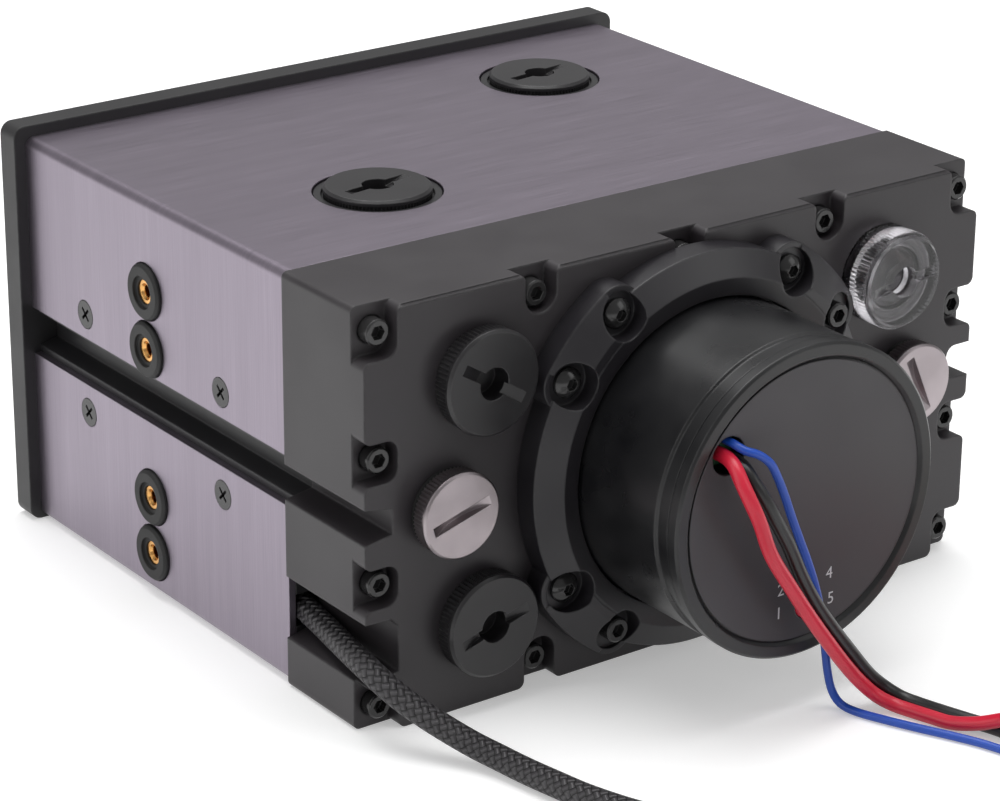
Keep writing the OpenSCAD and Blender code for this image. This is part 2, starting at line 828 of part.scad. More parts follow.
module control_board() {
    pot_r = 3.4;
    color([0.10, 0.30, 0.16])
    on_rear() {
        translate([0, 0, board_h]) cylinder(h = board_t, r = can_r - can_wall - 0.4);
        // potentiometer under the dial
        translate([dial_at[0], -dial_at[1], board_h + board_t - eps]) cylinder(h = 2.2, r = pot_r);
        // three posts carry the board on the stator
        for (a = [20, 140, 260]) rotate(a) translate([22, 0, stator_h + stator_t])
            cylinder(h = board_h - stator_h - stator_t + eps, r = 1.8);
        // terminal block at the lead outlet
        translate([outlet_at[0] - 3.4, -outlet_at[1] - 3, board_h + board_t - eps])
            cube([5.7, 5.8, 3.6]);
    }
}

module pump_can() {
    inner = can_r - can_wall;
    color([0.09, 0.09, 0.10])
    on_rear() rotate_extrude($fn = 128)
        polygon([[inner, flange_h], [flange_r, flange_h], [flange_r, lip_z], [can_r, lip_z],
                 [can_r, can_end_h - 3.2], [can_r - 0.5, can_end_h - 2.8], [can_r - 0.5, can_end_h],
                 [inner, can_end_h]]);
}

module cap_opening(h0, h1, grow = 0) {
    on_rear(outlet_at[0], mid_z + outlet_at[1], h0) cylinder(h = h1 - h0, r = outlet_r + grow);
    on_rear(dial_at[0], mid_z + dial_at[1], h0) cylinder(h = h1 - h0, r = dial_r + dial_gap + grow);
}

module end_cap() {
    spigot = can_r - can_wall - 0.2;
    spigot_t = 1.1;
    color([0.12, 0.12, 0.13])
    difference() {
        on_rear() rotate_extrude($fn = 128)
            polygon([[0, label_h - 1.6], [spigot - spigot_t, label_h - 1.6],
                     [spigot - spigot_t, can_end_h - 2],
                     [spigot, can_end_h - 2], [spigot, cap_rim_h], [cap_r, cap_rim_h],
                     [cap_r, pump_out - 0.5], [cap_r - 0.5, pump_out], [label_r + 0.9, pump_out],
                     [label_r + 0.2, label_h], [0, label_h]]);
        cap_opening(can_end_h - 3, pump_out + 1);
    }
}

module end_label() {
    color([0.22, 0.21, 0.23])
    difference() {
        on_rear(h = label_h) cylinder(h = label_t, r = label_r, $fn = 128);
        cap_opening(label_h - 1, pump_out + 1, 0.1);
    }
}

module speed_dial() {
    top = label_h + label_t;
    base = board_h + board_t + 2.2;
    color([0.70, 0.10, 0.10])
    difference() {
        on_rear(dial_at[0], mid_z + dial_at[1], base) cylinder(h = top - base, r = dial_r);
        on_rear(dial_at[0], mid_z + dial_at[1], top - 0.8)
            translate([-0.4, -dial_r, 0]) cube([0.8, dial_r + 0.9, 2]);
    }
}

// ---------- plugs ----------

// Disc with an axial knurl
module knurled_disc(r, h, teeth = 54) {
    linear_extrude(h) polygon([for (i = [0:2 * teeth - 1]) let (a = i * 180 / teeth)
        (r - (i % 2) * knurl_depth) * [cos(a), sin(a)]]);
}

// Coin slot cut by a round cutter, so that its floor rises towards both ends
module coin_slot(width, half_length, depth) {
    cutter = (half_length * half_length + depth * depth) / (2 * depth);
    translate([0, 0, cutter - depth]) rotate([90, 0, 0])
        cylinder(h = width, r = cutter, center = true);
}

module seal_room_under(r = ring_cord_at) {
    rotate_extrude() translate([r - ring_groove, -1]) square([2 * ring_groove, 2.75]);
}

// Knurled plug, head base at z = 0, thread downwards
module knurled_plug(r, h, slot_angle, face_r, teeth = 72) {
    cap_h = 1.1;
    rim = 0.5;
    hole_r = 3.1;
    slot_d = 1.5;
    difference() {
        union() {
            translate([0, 0, -plug_thread]) cylinder(h = plug_thread + 1, r = port_r - thread_gap);
            knurled_disc(r, h - cap_h, teeth);
            translate([0, 0, h - cap_h - eps]) cylinder(h = cap_h - rim + eps, r = face_r);
            translate([0, 0, h - rim]) cylinder(h = rim, r1 = face_r, r2 = face_r - rim);
        }
        seal_room_under();
        translate([0, 0, h - 4.3]) cylinder(h = 5, r = hole_r, $fn = 48);
        translate([0, 0, h]) rotate(slot_angle) coin_slot(2.1, 7.6, slot_d);
    }
}

module seal_ring() {
    translate([0, 0, ring_cord_r + 0.03]) rotate_extrude()
        translate([ring_cord_at, 0]) circle(ring_cord_r, $fn = 24);
}

module fill_plug_rear() {
    color([0.17, 0.165, 0.175]) at_fill(fill_rear_at, fill_sink)
        knurled_plug(fill_head_r - 0.1, fill_head_h + eps, 8, fill_head_r, 90);
}

module fill_plug_front() {
    color([0.17, 0.165, 0.175]) at_fill(fill_front_at, fill_sink)
        knurled_plug(fill_head_r - 0.1, fill_head_h + eps, 8, fill_head_r, 90);
}

module fill_seal_rear() {
    color([0.05, 0.05, 0.05]) at_fill(fill_rear_at, fill_sink) seal_ring();
}

module fill_seal_front() {
    color([0.05, 0.05, 0.05]) at_fill(fill_front_at, fill_sink) seal_ring();
}

module black_port_plugs() {
    color([0.15, 0.145, 0.16]) {
        for (at = [[upper_port[0], upper_port[1], -32], [lower_port[0], lower_port[1], 16],
                   [-lower_port[0], lower_port[1], 40]])
            on_rear(at[0], mid_z + at[1])
                knurled_plug(plug_r - 0.1, plug_head_h, at[2], plug_r + 0.05);
    }
}

module nickel_plug(slot_angle) {
    rim = 0.4;
    difference() {
        union() {
            translate([0, 0, -plug_thread]) cylinder(h = plug_thread + nickel_lift + 1,
                                                     r = port_r - thread_gap);
            translate([0, 0, nickel_lift]) knurled_disc(nickel_r - 0.1, nickel_h - 1, nickel_teeth);
            translate([0, 0, nickel_lift + nickel_h - 1 - eps])
                cylinder(h = 1 - rim + eps, r = nickel_r);
            translate([0, 0, nickel_lift + nickel_h - rim])
                cylinder(h = rim, r1 = nickel_r, r2 = nickel_r - rim);
        }
        translate([0, 0, nickel_lift + nickel_h]) rotate(slot_angle) coin_slot(2, 6.4, 1.9);
    }
}

module nickel_port_plugs() {
    color([0.68, 0.64, 0.64]) {
        on_rear(middle_port[0], mid_z + middle_port[1]) nickel_plug(16);
        on_rear(-middle_port[0], mid_z + middle_port[1]) nickel_plug(-66);
    }
}

module clear_port_plug() {
    color([0.80, 0.80, 0.85, 0.5])
    on_rear(-upper_port[0], mid_z + upper_port[1])
        knurled_plug(clear_r, clear_h, 8, clear_r - 0.6);
}

module port_seals() {
    color([0.05, 0.05, 0.05]) {
        for (p = [upper_port, lower_port]) for (s = [-1, 1])
            on_rear(s * p[0], mid_z + p[1]) seal_ring();
        for (s = [-1, 1]) on_rear(s * middle_port[0], mid_z + middle_port[1]) rotate_extrude()
            translate([port_r + 0.1, 0]) square([nickel_r - port_r - 0.7, nickel_lift]);
    }
}

// ---------- cables ----------

// Routes, chosen by hand; each runs from its outlet to where its coil begins.
// Along Y, the light cable counts from the housing's rear face and the leads from the pump's end.
led_route = [
    [67.4, -44, 15.2], [67.4, -38, 15.2], [67.5, -32, 14.9], [67.8, -26.5, 14.3],
    [68.4, -20.5, 13.9], [69.3, -15, 13.8], [70.2, -10, 13.8], [70.9, -5, 13.6],
    [71.2, -0.5, 13.1], [70.7, 3.5, 11.8], [69.2, 7.5, 9.8], [67, 11.5, 7.6], [64.6, 15.5, 5.6],
    [62.3, 19.5, 3.9], [60.4, 24, 2.9], [59, 30, 2.45], [57.6, 37, 2.4], [55.8, 45, 2.4],
    [52, 55, 2.4], [46.2, 64, 2.4], [39.6, 72, 2.4], [34.4, 79, 3]];
led_tail_route = [[73.9, 125, 6.4], [78, 125, 4.7], [82, 125, 3.5], [86, 125, 3.5]];
red_route = [
    [19.4, -3.8, 54.6], [19.4, -0.4, 54.6], [19.8, 2.6, 53.9], [20.1, 5.2, 51.6],
    [19.4, 6.9, 48.4], [18, 7.8, 44.6], [15.3, 8.2, 37.6], [10.3, 8.3, 29.8], [6, 8.4, 23.4],
    [1.4, 8.4, 17.1], [-3.4, 8.5, 10.8], [-7.2, 8.8, 6.3], [-10.2, 10, 3.2], [-12.4, 12.2, 1.7],
    [-13.8, 15.2, 1.35], [-15, 19, 1.35], [-16.4, 23.5, 1.5], [-18.6, 28, 2.6],
    [-20.6, 32, 4.4], [-21.8, 36, 6.4]];
red_tail_route = [[-51, 54.5, 8.1], [-55, 54, 7.4], [-60, 50.8, 4.9], [-64.5, 50.8, 4.9]];
black_route = [
    [17, -3.8, 53.2], [17, -0.4, 53.2], [17.1, 2.2, 52.6], [16.8, 4.5, 50.6], [15.4, 6, 47.4],
    [13.6, 6.7, 43.8], [10.4, 7, 38], [7, 7, 31], [3.3, 7, 24.6], [-0.9, 7.1, 18.6],
    [-5.8, 7.3, 12.2], [-9.8, 7.8, 7], [-13.1, 8.7, 3.7], [-15.4, 11.1, 1.8],
    [-16.9, 14.6, 1.35], [-18.2, 19, 1.35], [-19.8, 24, 1.35], [-21.5, 29, 1.35],
    [-22.3, 33, 1.35], [-21.9, 37, 1.6]];
black_tail_route = [[-51, 54.5, 2.7], [-55, 54.9, 3.1], [-60, 56, 4.9], [-64.5, 56, 4.9]];
signal_route = [
    [17.8, -3.8, 56.8], [17.8, -0.4, 56.8], [16.9, 1.9, 56], [14.9, 3.2, 55.2],
    [12.6, 3.8, 53.2], [11, 4, 50.3], [9.1, 4.1, 46], [7.4, 4.2, 41.6], [5.2, 4.2, 36.5],
    [3, 4.1, 31.6], [1.3, 4, 27.4], [-0.4, 3.7, 22.8], [-1.9, 3.4, 17.6], [-3, 3.2, 12],
    [-3.9, 3.2, 7], [-4.6, 3.8, 3.4], [-5.2, 5.6, 1.3], [-6, 9, 0.8], [-8.2, 14.6, 0.8],
    [-11, 20.6, 0.8], [-14, 26.6, 0.8], [-16.6, 32.6, 0.8], [-18.8, 40.6, 0.8],
    [-20.2, 49.6, 0.8], [-20.5, 57, 1], [-20.1, 63.1, 1.6]];
signal_tail_route = [[-37.8, 75.4, 2.4], [-42, 75.8, 2.7], [-47, 75.8, 2.7]];
led_coil_at = [shell_w / 2 - 14, y_rear + 99];
led_coil_r = 26;
lead_coil_at = [-40, y_end + 40.5];
lead_coil_r = 14;
signal_coil_at = [-31, y_end + 66.5];
signal_coil_r = 8.8;

function from_housing(route) = [for (p = route) [shell_w / 2 - 72 + p[0], y_rear + p[1], p[2]]];
function from_pump(route) = [for (p = route) [p[0], y_end + p[1], p[2] * mid_z / 41.1]];
led_path = from_housing(led_route);

function unit(v) = v / norm(v);
function tangent(p, i) = unit(p[min(i + 1, len(p) - 1)] - p[max(i - 1, 0)]);
function carried(v, t) = unit(v - (v * t) * t);
function first_side(t) = abs(t[2]) < 0.9 ? unit(cross(t, [0, 0, 1])) : unit(cross(t, [1, 0, 0]));
function side_at(p, i) = i == 0 ? first_side(tangent(p, 0)) : carried(side_at(p, i - 1), tangent(p, i));

// A round tube along the points of a route
module tube(path, d, sides = 8) {
    n = len(path);
    rings = [for (i = [0:n - 1]) let (t = tangent(path, i), u = side_at(path, i), v = cross(t, u))
        for (k = [0:sides - 1]) let (a = k * 360 / sides)
            path[i] + d / 2 * (cos(a) * u + sin(a) * v)];
    walls = [for (i = [0:n - 2], k = [0:sides - 1]) let (j = (k + 1) % sides)
        each [[i * sides + k, (i + 1) * sides + k, i * sides + j],
              [i * sides + j, (i + 1) * sides + k, (i + 1) * sides + j]]];
    ends = [[for (k = [0:sides - 1]) k], [for (k = [sides - 1:-1:0]) (n - 1) * sides + k]];
    polyhedron(rings, concat(walls, ends));
}

// The outer shape of a coil
module coil(at, r, d, rows, layers, z = 0) {
    half = rows * d / 2;
    translate([at[0], at[1], z]) rotate_extrude($fn = 48)
        translate([r - half, 0]) square([2 * half, layers * d]);
}

module light_cable() {
    color([0.05, 0.05, 0.05]) {
        tube(led_path, led_d, 10);
        tube(from_housing(led_tail_route), led_d, 10);
    }
}

module light_cable_coil() {
    color([0.05, 0.05, 0.05]) coil(led_coil_at, led_coil_r, led_d, 1, 2);
}

// Small two-part connector housing, open at its far end; +X is the far end
module connector(length, width, height, ways) {
    pitch = width / ways;
    wall = 0.9;
    difference() {
        translate([0, -width / 2, 0]) cube([length, width, height]);
        for (i = [0:ways - 1]) translate([length * 0.55, -width / 2 + i * pitch + wall, wall])
            cube([length, pitch - 2 * wall, height - 2 * wall]);
    }
    // latch rib on top
    translate([length * 0.3, -width / 6, height - eps]) cube([length * 0.4, width / 3, 0.8]);
}

module light_plug() {
    color([0.06, 0.06, 0.06]) translate([shell_w / 2 + 14, y_rear + 125, 0]) connector(14, 8.4, 6.6, 2);
}

module red_lead() {
    color([0.75, 0.10, 0.18]) {
        tube(from_pump(red_route), lead_d);
        tube(from_pump(red_tail_route), lead_d);
    }
}

module red_lead_coil() {
    color([0.75, 0.10, 0.18]) coil(lead_coil_at, lead_coil_r, lead_d, 2, 2, 2 * lead_d);
}

module black_lead() {
    color([0.04, 0.04, 0.04]) {
        tube(from_pump(black_route), lead_d);
        tube(from_pump(black_tail_route), lead_d);
    }
}

module black_lead_coil() {
    color([0.04, 0.04, 0.04]) coil(lead_coil_at, lead_coil_r, lead_d, 2, 2);
}

module power_plug() {
    color([0.88, 0.87, 0.82])
    translate([-64.5, y_end + 53.4, 0]) mirror([1, 0, 0]) connector(23, 20.8, 9.6, 4);
}

module signal_lead() {
    color([0.08, 0.22, 0.65]) {
        tube(from_pump(signal_route), signal_d);
        tube(from_pump(signal_tail_route), signal_d);
    }
}

module signal_lead_coil() {
    color([0.08, 0.22, 0.65]) coil(signal_coil_at, signal_coil_r, signal_d, 2, 2);
}

module signal_plug() {
    color([0.06, 0.06, 0.06])
    translate([-47, y_end + 75.8, 0]) mirror([1, 0, 0]) connector(14, 7.8, 5.8, 3);
}

front_bezel();
front_window();
front_seal();
bezel_screws();
tank_body();
rear_seal();
upper_shell();
lower_shell();
shell_screws();
grommets();
threaded_inserts();
light_strip();
light_cable_boot();
rear_housing();
housing_screws();
pump_ring();
ring_screws();
pump_seal();
separation_dome();
bearing_ball();
impeller();
rotor_magnet();
stator_core();
stator_windings();
control_board();
pump_can();
end_cap();
end_label();
speed_dial();
fill_plug_rear();
fill_seal_rear();
fill_plug_front();
fill_seal_front();
black_port_plugs();
nickel_port_plugs();
clear_port_plug();
port_seals();
light_cable();
light_cable_coil();
light_plug();
red_lead();
red_lead_coil();
black_lead();
black_lead_coil();
power_plug();
signal_lead();
signal_lead_coil();
signal_plug();
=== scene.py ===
# %% [markdown]
# # Coolant pump reservoir
# The part is a water tank for two drive bays. Two brushed shells wrap a black tank body, a machined
# housing with threaded ports closes its rear, and a round motor pump is clamped to that housing.
# This file dresses them: it gives every solid a finish and lays the cables and their coils.

from math import cos, pi, radians, sin

import bpy
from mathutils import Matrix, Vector


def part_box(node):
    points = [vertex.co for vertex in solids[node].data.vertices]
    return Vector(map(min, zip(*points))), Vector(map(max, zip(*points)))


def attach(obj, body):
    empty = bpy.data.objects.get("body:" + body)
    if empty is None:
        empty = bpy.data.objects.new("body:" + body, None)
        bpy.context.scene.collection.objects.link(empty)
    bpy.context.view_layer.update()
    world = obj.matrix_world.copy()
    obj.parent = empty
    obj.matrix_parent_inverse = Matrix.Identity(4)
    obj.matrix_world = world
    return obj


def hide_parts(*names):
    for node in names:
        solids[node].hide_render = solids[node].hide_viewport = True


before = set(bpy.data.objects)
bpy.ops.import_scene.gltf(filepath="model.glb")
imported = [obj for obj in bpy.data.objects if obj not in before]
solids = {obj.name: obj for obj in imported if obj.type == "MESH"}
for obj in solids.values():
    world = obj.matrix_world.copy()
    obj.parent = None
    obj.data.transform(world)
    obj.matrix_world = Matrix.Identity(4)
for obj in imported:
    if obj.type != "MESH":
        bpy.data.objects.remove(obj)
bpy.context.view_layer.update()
MM = 0.001

# %% [markdown]
# ## Places that several pieces share
# Every place is read from the solids, so the dressing follows the model when its sizes change.
# The pump's rear end is where the three leads come out; the housing's rear face is where the
# light cable leaves its channel. The cables' diameters and the radii of their coils are the
# model's own, in millimetres.

# %% Read the shared places
LIGHT_CABLE_D, LIGHT_COIL_R = 4.8, 26
LEAD_D, LEAD_COIL_R = 2.7, 14
SIGNAL_D, SIGNAL_COIL_R = 1.6, 8.8
pump_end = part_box("end_cap")[1].y
housing_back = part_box("rear_housing")[1].y
can_low, can_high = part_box("end_cap")
axis_z = (can_low.z + can_high.z) / 2
print("pump ends at", round(pump_end / MM, 2), "mm, axis", round(axis_z / MM, 2), "mm high")

# %% [markdown]
# ## Camera
# The camera comes first, because the cables are put away where it doesn't look.
# A long lens from behind and above shows the rear face, the top and one side at once. The lens is
# 127 mm on a 36 mm sensor, so the edges hardly converge, as in a product picture.

# %% Camera
camera_data = bpy.data.cameras.new("camera")
camera_data.sensor_width = 36
camera_data.lens = 126.94
camera = bpy.data.objects.new("camera", camera_data)
camera.location = (0.390146, 0.516965, 0.297686)
camera.rotation_euler = (radians(67.853), radians(-0.4233), radians(143.841))
bpy.context.scene.collection.objects.link(camera)
bpy.context.scene.camera = camera
print("camera", round((camera.location - Vector((0, 0, axis_z))).length, 3), "m from the middle")

# %% [markdown]
# ## Cable routes
# A cable is one smooth line with a round section. The line is given by a few points in millimetres,
# then rounded off with a Catmull-Rom curve, which passes through every point and never kinks.
# A curve object with a bevel would draw the round section by itself, and is used for the plain
# leads. The braided cable needs texture coordinates along its length, so it is built as a mesh.

# %% Helpers that smooth and measure a route
def catmull_rom(points, spacing=1.0):
    """Points about `spacing` millimetres apart on a smooth line through the given points."""
    points = [Vector(p) for p in points]
    ends = [2 * points[0] - points[1], *points, 2 * points[-1] - points[-2]]
    smooth = []
    for a, b, c, d in zip(ends, ends[1:], ends[2:], ends[3:]):
        steps = max(1, round((c - b).length / spacing))
        for i in range(steps):
            t = i / steps
            smooth.append(0.5 * (2 * b + (c - a) * t + (2 * a - 5 * b + 4 * c - d) * t ** 2
                                 + (3 * b - a - 3 * c + d) * t ** 3))
    return smooth + [points[-1]]


def route_length(points):
    return sum((b - a).length for a, b in zip(points, points[1:]))


def ease(t):
    t = min(1, max(0, t))
    return t * t * (3 - 2 * t)


print("a quarter circle of 10 mm comes out", round(route_length(catmull_rom(
    [(10 * cos(a * pi / 8), 10 * sin(a * pi / 8), 0) for a in range(5)])), 2), "mm long")

# %% [markdown]
# ## Coils
# The length that isn't needed is wound up. Each coil lies on the floor; its turns lie beside and on
# each other, one cable diameter apart. A turn changes lane or climbs a layer over a short stretch,
# never where another turn lies in the way.

# %% Helpers that wind a coil
def blend_lanes(angle, changes):
    """The value at an angle; changes are (from angle, to angle, old value, new value)."""
    value = changes[0][2]
    for start, stop, old, new in changes:
        if angle > start:
            value = old + (new - old) * ease((angle - start) / (stop - start))
    return value


def four_lane_coil(centre, radius, diameter, floor, first, last=1170):
    """Turns outer low, inner low, inner high, outer high, counter-clockwise, in millimetres."""
    out, low = radius + diameter / 2, floor + diameter / 2
    lanes = [(275, 335, out, out - diameter), (840, 900, out - diameter, out)]
    layers = [(560, 620, low, low + diameter)]
    return [(centre[0] + blend_lanes(a, lanes) * cos(radians(a)),
             centre[1] + blend_lanes(a, lanes) * sin(radians(a)), blend_lanes(a, layers))
            for a in range(first, last + 1, 15)]


def two_layer_coil(centre, radius, diameter, first, last):
    """One lane, clockwise from the floor up to a second layer, in millimetres."""
    climb = [(300, 355, diameter / 2, diameter * 1.5)]
    return [(centre[0] + radius * cos(radians(a)), centre[1] + radius * sin(radians(a)),
             blend_lanes(first - a, climb)) for a in range(first, last - 1, -15)]


print("one lead's coil takes", round(route_length([Vector(p) for p in four_lane_coil(
    (0, 0), LEAD_COIL_R, LEAD_D, 0, 15)])), "mm")

# %% Routes of the light cable and the three leads
def offset(route, y):
    return [(x, y / MM + along, z) for x, along, z in route]


light_cable_route = offset([
    (67.4, -44, 15.2), (67.4, -38, 15.2), (67.5, -32, 14.9), (67.8, -26.5, 14.3),
    (68.4, -20.5, 13.9), (69.3, -15, 13.8), (70.2, -10, 13.8), (70.9, -5, 13.6),
    (71.2, -0.5, 13.1), (70.7, 3.5, 11.8), (69.2, 7.5, 9.8), (67, 11.5, 7.6), (64.6, 15.5, 5.6),
    (62.3, 19.5, 3.9), (60.4, 24, 2.9), (59, 30, 2.45), (57.6, 37, 2.4), (55.8, 45, 2.4),
    (52, 55, 2.4), (46.2, 64, 2.4), (39.6, 72, 2.4)], housing_back)
light_cable_tail = offset([(73.9, 125, 6.4), (78, 125, 4.7), (82, 125, 3.5), (87, 125, 3.5)],
                          housing_back)
red_route = offset([
    (19.4, -3.8, 54.6), (19.4, -0.4, 54.6), (19.8, 2.6, 53.9), (20.1, 5.2, 51.6),
    (19.4, 6.9, 48.4), (18, 7.8, 44.6), (15.3, 8.2, 37.6), (10.3, 8.3, 29.8), (6, 8.4, 23.4),
    (1.4, 8.4, 17.1), (-3.4, 8.5, 10.8), (-7.2, 8.8, 6.3), (-10.2, 10, 3.2), (-12.4, 12.2, 1.7),
    (-13.8, 15.2, 1.35), (-15, 19, 1.35), (-16.4, 23.5, 1.5), (-18.6, 28, 2.6),
    (-20.6, 32, 4.4), (-21.8, 36, 6.4)], pump_end)
red_tail = offset([(-51, 54.5, 8.1), (-55, 54, 7.4), (-60, 50.8, 4.9), (-65.5, 50.8, 4.9)],
                  pump_end)
black_route = offset([
    (17, -3.8, 53.2), (17, -0.4, 53.2), (17.1, 2.2, 52.6), (16.8, 4.5, 50.6), (15.4, 6, 47.4),
    (13.6, 6.7, 43.8), (10.4, 7, 38), (7, 7, 31), (3.3, 7, 24.6), (-0.9, 7.1, 18.6),
    (-5.8, 7.3, 12.2), (-9.8, 7.8, 7), (-13.1, 8.7, 3.7), (-15.4, 11.1, 1.8),
    (-16.9, 14.6, 1.35), (-18.2, 19, 1.35), (-19.8, 24, 1.35), (-21.5, 29, 1.35),
    (-22.3, 33, 1.35), (-21.9, 37, 1.6)], pump_end)
black_tail = offset([(-51, 54.5, 2.7), (-55, 54.9, 3.1), (-60, 56, 4.9), (-65.5, 56, 4.9)],
                    pump_end)
signal_route = offset([
    (17.8, -3.8, 56.8), (17.8, -0.4, 56.8), (16.9, 1.9, 56), (14.9, 3.2, 55.2),
    (12.6, 3.8, 53.2), (11, 4, 50.3), (9.1, 4.1, 46), (7.4, 4.2, 41.6), (5.2, 4.2, 36.5),
    (3, 4.1, 31.6), (1.3, 4, 27.4), (-0.4, 3.7, 22.8), (-1.9, 3.4, 17.6), (-3, 3.2, 12),
    (-3.9, 3.2, 7), (-4.6, 3.8, 3.4), (-5.2, 5.6, 1.3), (-6, 9, 0.8), (-8.2, 14.6, 0.8),
    (-11, 20.6, 0.8), (-14, 26.6, 0.8), (-16.6, 32.6, 0.8), (-18.8, 40.6, 0.8),
    (-20.2, 49.6, 0.8), (-20.5, 57, 1), (-20.1, 63.1, 1.6)], pump_end)
signal_tail = offset([(-37.8, 75.4, 2.4), (-42, 75.8, 2.7), (-48, 75.8, 2.7)], pump_end)

lead_coil = (-40, pump_end / MM + 40.5)
signal_coil = (-31, pump_end / MM + 66.5)
light_coil = (58, housing_back / MM + 99)
routes = {
    "light_cable": light_cable_route
                   + two_layer_coil(light_coil, LIGHT_COIL_R, LIGHT_CABLE_D, 215, -270)
                   + light_cable_tail,
    "red_lead": red_route + four_lane_coil(lead_coil, LEAD_COIL_R, LEAD_D, 2 * LEAD_D, 15)
                + red_tail,
    "black_lead": black_route + four_lane_coil(lead_coil, LEAD_COIL_R, LEAD_D, 0, 15)
                  + black_tail,
    "signal_lead": signal_route + four_lane_coil(signal_coil, SIGNAL_COIL_R, SIGNAL_D, 0, 15)
                   + signal_tail,
}
centrelines = {name: catmull_rom(route) for name, route in routes.items()}
for name, line in centrelines.items():
    print(name, round(route_length(line)), "mm")

# %% [markdown]
# ## The leads
# Three plain insulated wires leave the pump through one hole: red and black for power and a thinner
# blue one for the speed signal. Each is a curve with a bevel of one metre, which the radius at
# every point brings down to half the lead's diameter.

# %% Draw a lead
def draw_lead(name, diameter):
    curve = bpy.data.curves.new(name + "_wire", "CURVE")
    curve.dimensions = "3D"
    curve.bevel_depth = 1
    curve.bevel_resolution = 5
    curve.use_fill_caps = True
    spline = curve.splines.new("POLY")
    line = centrelines[name]
    spline.points.add(len(line) - 1)
    for point, place in zip(spline.points, line):
        point.co = (*(place * MM), 1)
        point.radius = diameter / 2 * MM
    spline.use_smooth = True
    wire = bpy.data.objects.new(name + "_wire", curve)
    bpy.context.scene.collection.objects.link(wire)
    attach(wire, "station")
    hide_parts(name, name + "_coil")
    return wire


leads = {"red_lead": (LEAD_D, "wire_red", "power_plug"),
         "black_lead": (LEAD_D, "wire_black", "power_plug"),
         "signal_lead": (SIGNAL_D, "wire_blue", "signal_plug")}
wires = {name: draw_lead(name, diameter) for name, (diameter, _, _) in leads.items()}
print("leads:", ", ".join(wires))

# %% Count the leads
print("declared", len(leads), "leads")

# %% [markdown]
# ## The braided light cable
# The cable of the tank's light strip wears a sleeve of black braid. The mesh is swept along the
# line ring by ring. Its texture coordinates run once round the cable in U and count millimetres in
# V, so that the weave has the same size everywhere, also in the coil.

# %% Sweep a mesh tube with texture coordinates
def sweep_tube(name, line, radius, sides=24):
    verts, faces, uvs = [], [], []
    side = Vector((0, 0, 1)).cross((line[1] - line[0]).normalized()).normalized()
    travelled = [0.0]
    for i, place in enumerate(line):
        ahead = (line[min(i + 1, len(line) - 1)] - line[max(i - 1, 0)]).normalized()
        side = (side - side.dot(ahead) * ahead).normalized()
        up = ahead.cross(side)
        if i:
            travelled.append(travelled[-1] + (place - line[i - 1]).length)
        for k in range(sides):
            turn = 2 * pi * k / sides
            verts.append((place + radius * (cos(turn) * side + sin(turn) * up)) * MM)
    for i in range(len(line) - 1):
        for k in range(sides):
            right = (k + 1) % sides
            faces.append((i * sides + k, i * sides + right,
                          (i + 1) * sides + right, (i + 1) * sides + k))
            uvs += [(k / sides, travelled[i]), ((k + 1) / sides, travelled[i]),
                    ((k + 1) / sides, travelled[i + 1]), (k / sides, travelled[i + 1])]
    for ring in (range(sides - 1, -1, -1), range((len(line) - 1) * sides, len(line) * sides)):
        faces.append(tuple(ring))
        uvs += [(0, 0)] * sides
    mesh = bpy.data.meshes.new(name)
    mesh.from_pydata(verts, [], faces)
    layer = mesh.uv_layers.new(name="weave")
    layer.data.foreach_set("uv", [value for uv in uvs for value in uv])
    mesh.polygons.foreach_set("use_smooth", [len(p.vertices) == 4 for p in mesh.polygons])
    tube = bpy.data.objects.new(name, mesh)
    bpy.context.scene.collection.objects.link(tube)
    return tube


light_sleeve = sweep_tube("light_cable_sleeve", centrelines["light_cable"], LIGHT_CABLE_D / 2)
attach(light_sleeve, "station")
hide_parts("light_cable", "light_cable_coil")
print("sleeve has", len(light_sleeve.data.vertices), "points")

# %% [markdown]
# ## The dial's numbers
# The speed dial turns between small numbers printed on the label. They are flat letters a hair
# above the film, laid out in millimetres from the pump's axis.

# %% Print the numbers
label_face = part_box("end_label")[1].y
numbers = []
for number, x, z in (("1", 6.3, -22), ("2", 6.0, -17.4), ("4", -5.6, -17), ("5", -6.2, -22.2)):
    letter = bpy.data.curves.new("number_" + number, "FONT")
    letter.body = number
    letter.size = 0.0034
    sketch = bpy.data.objects.new("sketch_" + number, letter)
    bpy.context.scene.collection.objects.link(sketch)
    bpy.context.view_layer.update()
    shape = bpy.data.meshes.new_from_object(sketch)
    bpy.data.objects.remove(sketch)
    figure = bpy.data.objects.new("number_" + number, shape)
    figure.location = (x * MM, label_face + 0.00004, axis_z + z * MM)
    figure.rotation_euler = (pi / 2, 0, pi)
    bpy.context.scene.collection.objects.link(figure)
    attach(figure, "station")
    numbers.append(figure)
print(len(numbers), "numbers")

# %% [markdown]
# ## Materials: the helpers
# A material is a small tree of nodes. These helpers place a node with its settings and link it, so
# that each recipe below reads as a list of what it adds. Effects that several finishes share are
# node groups: built once, and used with other values in each material.

# %% Helpers that build nodes
def add(tree, kind, settings=None, **sockets):
    """Adds a node; settings are its properties, sockets its inputs: a value or another output."""
    node = tree.nodes.new(kind)
    for name, value in (settings or {}).items():
        setattr(node, name, value)
    for name, value in sockets.items():
        socket = node.inputs[int(name[1:])] if name[0] == "i" and name[1:].isdigit() \
            else node.inputs[name.replace("_", " ")]
        if isinstance(value, bpy.types.NodeSocket):
            tree.links.new(value, socket)
        else:
            socket.default_value = value
    return node


def maths(tree, operation, a, b=0.0, clamp=False):
    return add(tree, "ShaderNodeMath", {"operation": operation, "use_clamp": clamp},
               i0=a, i1=b).outputs[0]


